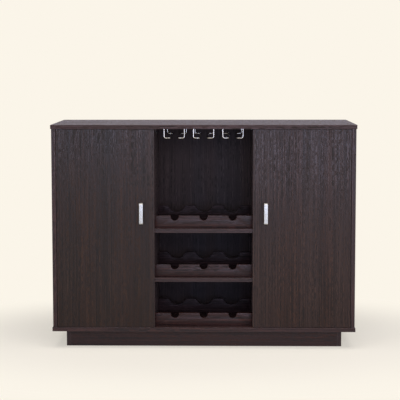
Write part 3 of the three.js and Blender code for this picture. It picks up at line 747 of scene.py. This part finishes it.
# Radius and height of the heads in the cup's ears, in the mounting plate and on the arm's web
CUP_SCREW, PLATE_SCREW_HEAD, ARM_SCREW = (3.6 * MM, 1.6 * MM), (4.2 * MM, 1.8 * MM), (2.8 * MM, 1.1 * MM)


def hinge_place(side, tag):
    low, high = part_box(f"hinge_arm_{tag}")
    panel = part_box(f"side_panel_{side}")
    face, sign = (panel[1].x, 1) if side == "left" else (panel[0].x, -1)
    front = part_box(f"door_{side}")[0].y
    return Matrix(((sign, 0, 0, face), (0, 1, 0, front), (0, 0, 1, (low.z + high.z) / 2), (0, 0, 0, 1)))


def add_pivot(bm, place, at, low, high):
    radius, edge = PIVOT_RADIUS, PIVOT_EDGE
    profile = [(0, low), (radius - edge, low), (radius, low + edge),
               (radius, high - edge), (radius - edge, high), (0, high)]
    add_lathe(bm, profile, 20, place @ Matrix.Translation((at[0], at[1], 0)))


def add_cup(bm, place):
    curve = CUP_ROUNDING
    wall = CUP_OUTER - CUP_INNER
    floor = CUP_DEPTH - CUP_FLOOR
    profile = [(0, floor)] + arc(CUP_INNER - curve, floor - curve, curve, QUARTER, 0.0, 5)
    profile += [(CUP_INNER, 0.3 * wall), (CUP_INNER + 0.3 * wall, 0.0), (CUP_OUTER, 0.0)]
    profile += [(CUP_OUTER, CUP_DEPTH - curve)]
    profile += arc(CUP_OUTER - curve, CUP_DEPTH - curve, curve, 0.0, QUARTER, 5) + [(0, CUP_DEPTH)]
    add_lathe(bm, profile, 56, place @ facing((CUP_MIDDLE, DOOR_BACK, 0), (0, -1, 0)))
    on_door = Matrix.Translation((CUP_MIDDLE, DOOR_BACK, 0)) @ Matrix.Rotation(QUARTER, 4, "X")
    corner = EAR_CORNER
    opening = math.acos(EAR_HALF / CUP_INNER)
    for way in (1, -1):
        ear = [(CUP_INNER * math.cos(opening), CUP_INNER * math.sin(opening))]
        ear += arc(EAR_HALF - corner, EAR_END - corner, corner, 0.0, QUARTER, 8)
        ear += [(-EAR_HALF + corner, EAR_END)]
        ear += arc(-EAR_HALF + corner, EAR_END - corner, corner, QUARTER, math.pi, 8)
        ear += arc(0, 0, CUP_INNER, math.pi - opening, opening, 18)[:-1]
        ear = [(x, way * y) for x, y in ear]
        add_slab(bm, ear, -EAR_THICK, 0.0, place @ on_door, rounding=EAR_EDGE, steps=2)
    for (x, y), way in ((CARRYING[1], -1), (STEERING[1], 1)):
        reach = math.sqrt((CUP_INNER + wall / 2) ** 2 - (x - CUP_MIDDLE) ** 2)
        add_pivot(bm, place, (x, y), *sorted((way * LINK_INNER / 2, way * reach)))


def arm_outline():
    (x0, y0), (x1, y1) = CARRYING[0], STEERING[0]
    front, back = BASE_MIDDLE - BASE_HALF, BASE_MIDDLE + BASE_HALF
    start = math.atan2(y0 - front, x0) - QUARTER
    end = math.atan2(back - y1, -x1) - QUARTER
    nose = NOSE_RADIUS
    points = [(BASE_THICK / 2, front), (x0 + nose * math.cos(start), y0 + nose * math.sin(start))]
    points += arc(x0, y0, nose, start, 0.0, 8) + [(x1 + nose, y1)]
    points += arc(x1, y1, nose, 0.0, end, 10)
    return points + [(BASE_THICK / 2, back)]


def web_line():
    """The outer edge of the arm's web, from its end near the pivots to its base."""
    tip = Vector((STEERING[0][0], STEERING[0][1] + NOSE_RADIUS))
    base = Vector((BASE_THICK / 2, BASE_MIDDLE + BASE_HALF))
    return tip.lerp(base, WEB_START / (base - tip).length), base


def plate_outline():
    """A rounded rectangle, round the middle of the arm's base."""
    corner = PLATE_CORNER
    left, right = (BASE_MIDDLE + way * (PLATE_HALF_WIDTH - corner) for way in (-1, 1))
    top = PLATE_HALF_HEIGHT - corner
    points = []
    for i, (x, y) in enumerate(((right, top), (left, top), (left, -top), (right, -top))):
        points += [(x + corner * math.cos(i * QUARTER), y + corner * math.sin(i * QUARTER))]
        points += arc(x, y, corner, i * QUARTER, (i + 1) * QUARTER, 6)
    return points


def add_arm(bm, place):
    for low, high in ((-WALL_OUTER, -WALL_INNER), (WALL_INNER, WALL_OUTER)):
        add_slab(bm, arm_outline(), low, high, place, rounding=SHEET_EDGE, steps=2)
    end, base = web_line()
    thick = Vector((0, WALL_OUTER - WALL_INNER))
    web = [tuple(base - thick), tuple(end - thick), tuple(end), tuple(base)]
    half = WALL_INNER + thick.y / 2
    add_slab(bm, web, -half, half, place, rounding=SHEET_EDGE, steps=2)
    low, high = (0, BASE_MIDDLE - BASE_HALF, -WALL_OUTER), (BASE_THICK, BASE_MIDDLE + BASE_HALF, WALL_OUTER)
    add_box(bm, low, high, place, rounding=BASE_EDGE)
    # The mounting plate lies on the side panel, so its thickness runs along X
    on_panel = Matrix(((0, 0, 1, 0), (1, 0, 0, 0), (0, 1, 0, 0), (0, 0, 0, 1)))
    add_slab(bm, plate_outline(), 0.0, BASE_THICK, place @ on_panel, rounding=BASE_EDGE, steps=2)
    head = [(0, 0.0), (RIVET_RADIUS, 0.0), (RIVET_RADIUS, 0.4 * RIVET_HEIGHT), (RIVET_FACE, RIVET_HEIGHT),
            (0, RIVET_HEIGHT)]
    for at, way in ((CARRYING[0], -1), (STEERING[0], 1)):
        add_pivot(bm, place, at, *sorted((way * LINK_INNER / 2, way * (WALL_OUTER + RIVET_HEIGHT))))
        add_lathe(bm, head, 20, place @ facing((at[0], at[1], way * WALL_OUTER), (0, 0, way)))


def link_outline(length, eye, slot):
    near, far = math.asin(LINK_HALF / EYE_RADIUS), math.asin(LINK_HALF / eye)
    points = arc(0, 0, EYE_RADIUS, near, 2 * math.pi - near, 22)
    points = [(EYE_RADIUS * math.cos(near), EYE_RADIUS * math.sin(near))] + points
    first = length - slot
    points.append((first + eye * math.cos(math.pi + far), eye * math.sin(math.pi + far)))
    points += arc(first, 0, eye, math.pi + far, 3 * QUARTER, 8)
    if slot:
        points.append((length, -eye))
    points += arc(length, 0, eye, -QUARTER, QUARTER, 16)
    if slot:
        points.append((first, eye))
    return points + arc(first, 0, eye, QUARTER, math.pi - far, 8)


def slot_outline(length, radius, slot):
    if not slot:
        return circle(radius, 24, (length, 0))
    first = length - slot
    right = [(length, -radius)] + arc(length, 0, radius, -QUARTER, QUARTER, 12)
    left = [(first, radius)] + arc(first, 0, radius, QUARTER, 3 * QUARTER, 12)
    return right + left


def add_link(bm, place, pivots, low, high, slot):
    start, end = (Vector(p) for p in pivots)
    run = end - start
    turn = Matrix.Translation((start.x, start.y, 0)) @ Matrix.Rotation(math.atan2(run.y, run.x), 4, "Z")
    eye, hole = (SLOT_EYE, SLOT_RADIUS) if slot else (EYE_RADIUS, EYE_HOLE)
    holes = [circle(EYE_HOLE, 24), slot_outline(run.length, hole, slot)]
    add_plate(bm, link_outline(run.length, eye, slot), holes, low, high, place @ turn)


def make_hinge(side, tag, plated):
    place = hinge_place(side, tag)
    finish = (plated, "plated_steel")
    bm = bmesh.new()
    add_cup(bm, place)
    new_piece(f"cup_{tag}", bm, f"door_{side}", *finish, [f"hinge_cup_{tag}"])
    bm = bmesh.new()
    for way in (1, -1):
        at = (CUP_MIDDLE, DOOR_BACK + EAR_THICK, way * EAR_SCREW)
        add_cross_screw(bm, *CUP_SCREW, place @ facing(at, (0, 1, 0)))
    new_piece(f"cup_screws_{tag}", bm, f"door_{side}", *finish)
    bm = bmesh.new()
    add_arm(bm, place)
    new_piece(f"arm_{tag}", bm, "cabinet", *finish, [f"hinge_arm_{tag}"])
    bm = bmesh.new()
    for way in (1, -1):
        at = (BASE_THICK, BASE_MIDDLE, way * PLATE_SCREW)
        add_cross_screw(bm, *PLATE_SCREW_HEAD, place @ facing(at, (1, 0, 0)))
    end, base = web_line()
    down = (base - end).normalized()
    for share in (0.35, 0.75):
        at = end.lerp(base, share)
        add_cross_screw(bm, *ARM_SCREW, place @ facing((at.x, at.y, 0), (down.y, -down.x, 0)))
    new_piece(f"arm_screws_{tag}", bm, "cabinet", *finish)
    for kind, pivots, low, high, slot in (("carrying", CARRYING, -LINK_OUTER, -LINK_INNER, 0.0),
                                          ("steering", STEERING, LINK_INNER, LINK_OUTER, SLOT_LENGTH)):
        bm = bmesh.new()
        add_link(bm, place, pivots, low, high, slot)
        new_piece(f"{kind}_link_{tag}", bm, f"{kind}_links_{side}", *finish, [f"hinge_{kind}_link_{tag}"])


def make_hinges(plated):
    for side in ("left", "right"):
        for level in ("lower", "upper"):
            make_hinge(side, f"{side}_{level}", plated)


# Small fittings: nails in the back, covers over the joint fittings, and buffers behind the doors

HALF_BOARD = 8 * MM
NAIL_PITCH, NAIL_INSET = 90 * MM, 20 * MM
NAIL_HEAD = [(0, -1 * MM), (1.8 * MM, -1 * MM), (2.4 * MM, 0.0), (2.4 * MM, 0.25 * MM),
             (1.6 * MM, 0.6 * MM), (0, 0.7 * MM)]
COVER_RADIUS, COVER_FACE, COVER_THICK = 8.5 * MM, 7.7 * MM, 0.7 * MM
COVER_INSET, COVER_DEPTH = 34 * MM, 120 * MM
BUFFER_RADIUS, BUFFER_THICK = 2.4 * MM, 0.8 * MM
BUFFER_SIDE, BUFFER_END = 8 * MM, 20 * MM


def evenly(start, end, count):
    return [start + (end - start) * i / (count - 1) for i in range(count)]


def make_back_nails(steel):
    """Nails along the sides, the dividers, the bottom and the two fixed shelves."""
    low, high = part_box("back_panel")
    uprights = [sum(end.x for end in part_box(name)) / 2 for name in ("side_panel_right", "divider_right")]
    bottom, top = low.z + HALF_BOARD, high.z - NAIL_INSET
    places = {(x * way, z) for x in uprights for way in (1, -1) for z in evenly(bottom, top, 7)}
    places |= {(x, bottom) for x in evenly(-uprights[0], uprights[0], 10)}
    for shelf in ("shelf_lower", "shelf_upper"):
        middle = sum(end.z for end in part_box(shelf)) / 2
        places |= {(x, middle) for x in (-NAIL_PITCH, 0.0, NAIL_PITCH)}
    bm = bmesh.new()
    for x, z in sorted(places):
        add_lathe(bm, NAIL_HEAD, 12, facing((x, high.y, z), (0, 1, 0)))
    new_piece("back_nails", bm, "cabinet", steel, "plated_steel")


def make_joint_covers(plastic):
    """Round covers, each over one of the fittings that draw a board's end to the board above or below."""
    cover = [(0, 0.0), (COVER_RADIUS, 0.0), (COVER_RADIUS, 0.4 * COVER_THICK), (COVER_FACE, COVER_THICK),
             (0, COVER_THICK)]
    bm = bmesh.new()
    faces = {"side_panel_left": 1, "side_panel_right": -1, "divider_left": -1, "divider_right": 1}
    for name, face in faces.items():
        low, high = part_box(name)
        x = high.x if face > 0 else low.x
        for z in (low.z + COVER_INSET, high.z - COVER_INSET):
            for y in (-COVER_DEPTH, COVER_DEPTH):
                add_lathe(bm, cover, 32, facing((x, y, z), (face, 0, 0)))
    new_piece("joint_covers", bm, "cabinet", plastic)


def make_buffers(rubber):
    """Two low domes behind each door's free edge."""
    radius, thick = BUFFER_RADIUS, BUFFER_THICK
    dome = [(0, 0.0), (radius, 0.0), (radius, 0.4 * thick), (0.6 * radius, 0.9 * thick), (0, thick)]
    for side in ("left", "right"):
        low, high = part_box(f"door_{side}")
        free = high.x if side == "left" else low.x
        x = free + math.copysign(BUFFER_SIDE, free)
        bm = bmesh.new()
        for z in (low.z + BUFFER_END, high.z - BUFFER_END):
            add_lathe(bm, dome, 20, facing((x, high.y, z), (0, 1, 0)))
        new_piece(f"door_buffers_{side}", bm, f"door_{side}", rubber)


bpy.context.scene.view_settings.view_transform = "Standard"
make_camera()
make_stage()
dress_boards()
make_rails()
nickel = metal("satin_nickel", colour("#acaaa8"), 0.38, "z")
chrome = metal("chrome", colour("#b3aca6"), 0.10, brushing=0.06)
plated = metal("plated_steel", colour("#b9bcc2"), 0.28)
make_racks(chrome)
make_handles(nickel, plated)
make_pins(plated)
make_hinges(plated)
make_back_nails(metal("nail_steel", colour("#8d8a88"), 0.4))
make_joint_covers(plastic_material("cover_plastic", colour("#2c2120"), 0.45))
make_buffers(plastic_material("buffer_rubber", colour("#cfcfca"), 0.35))
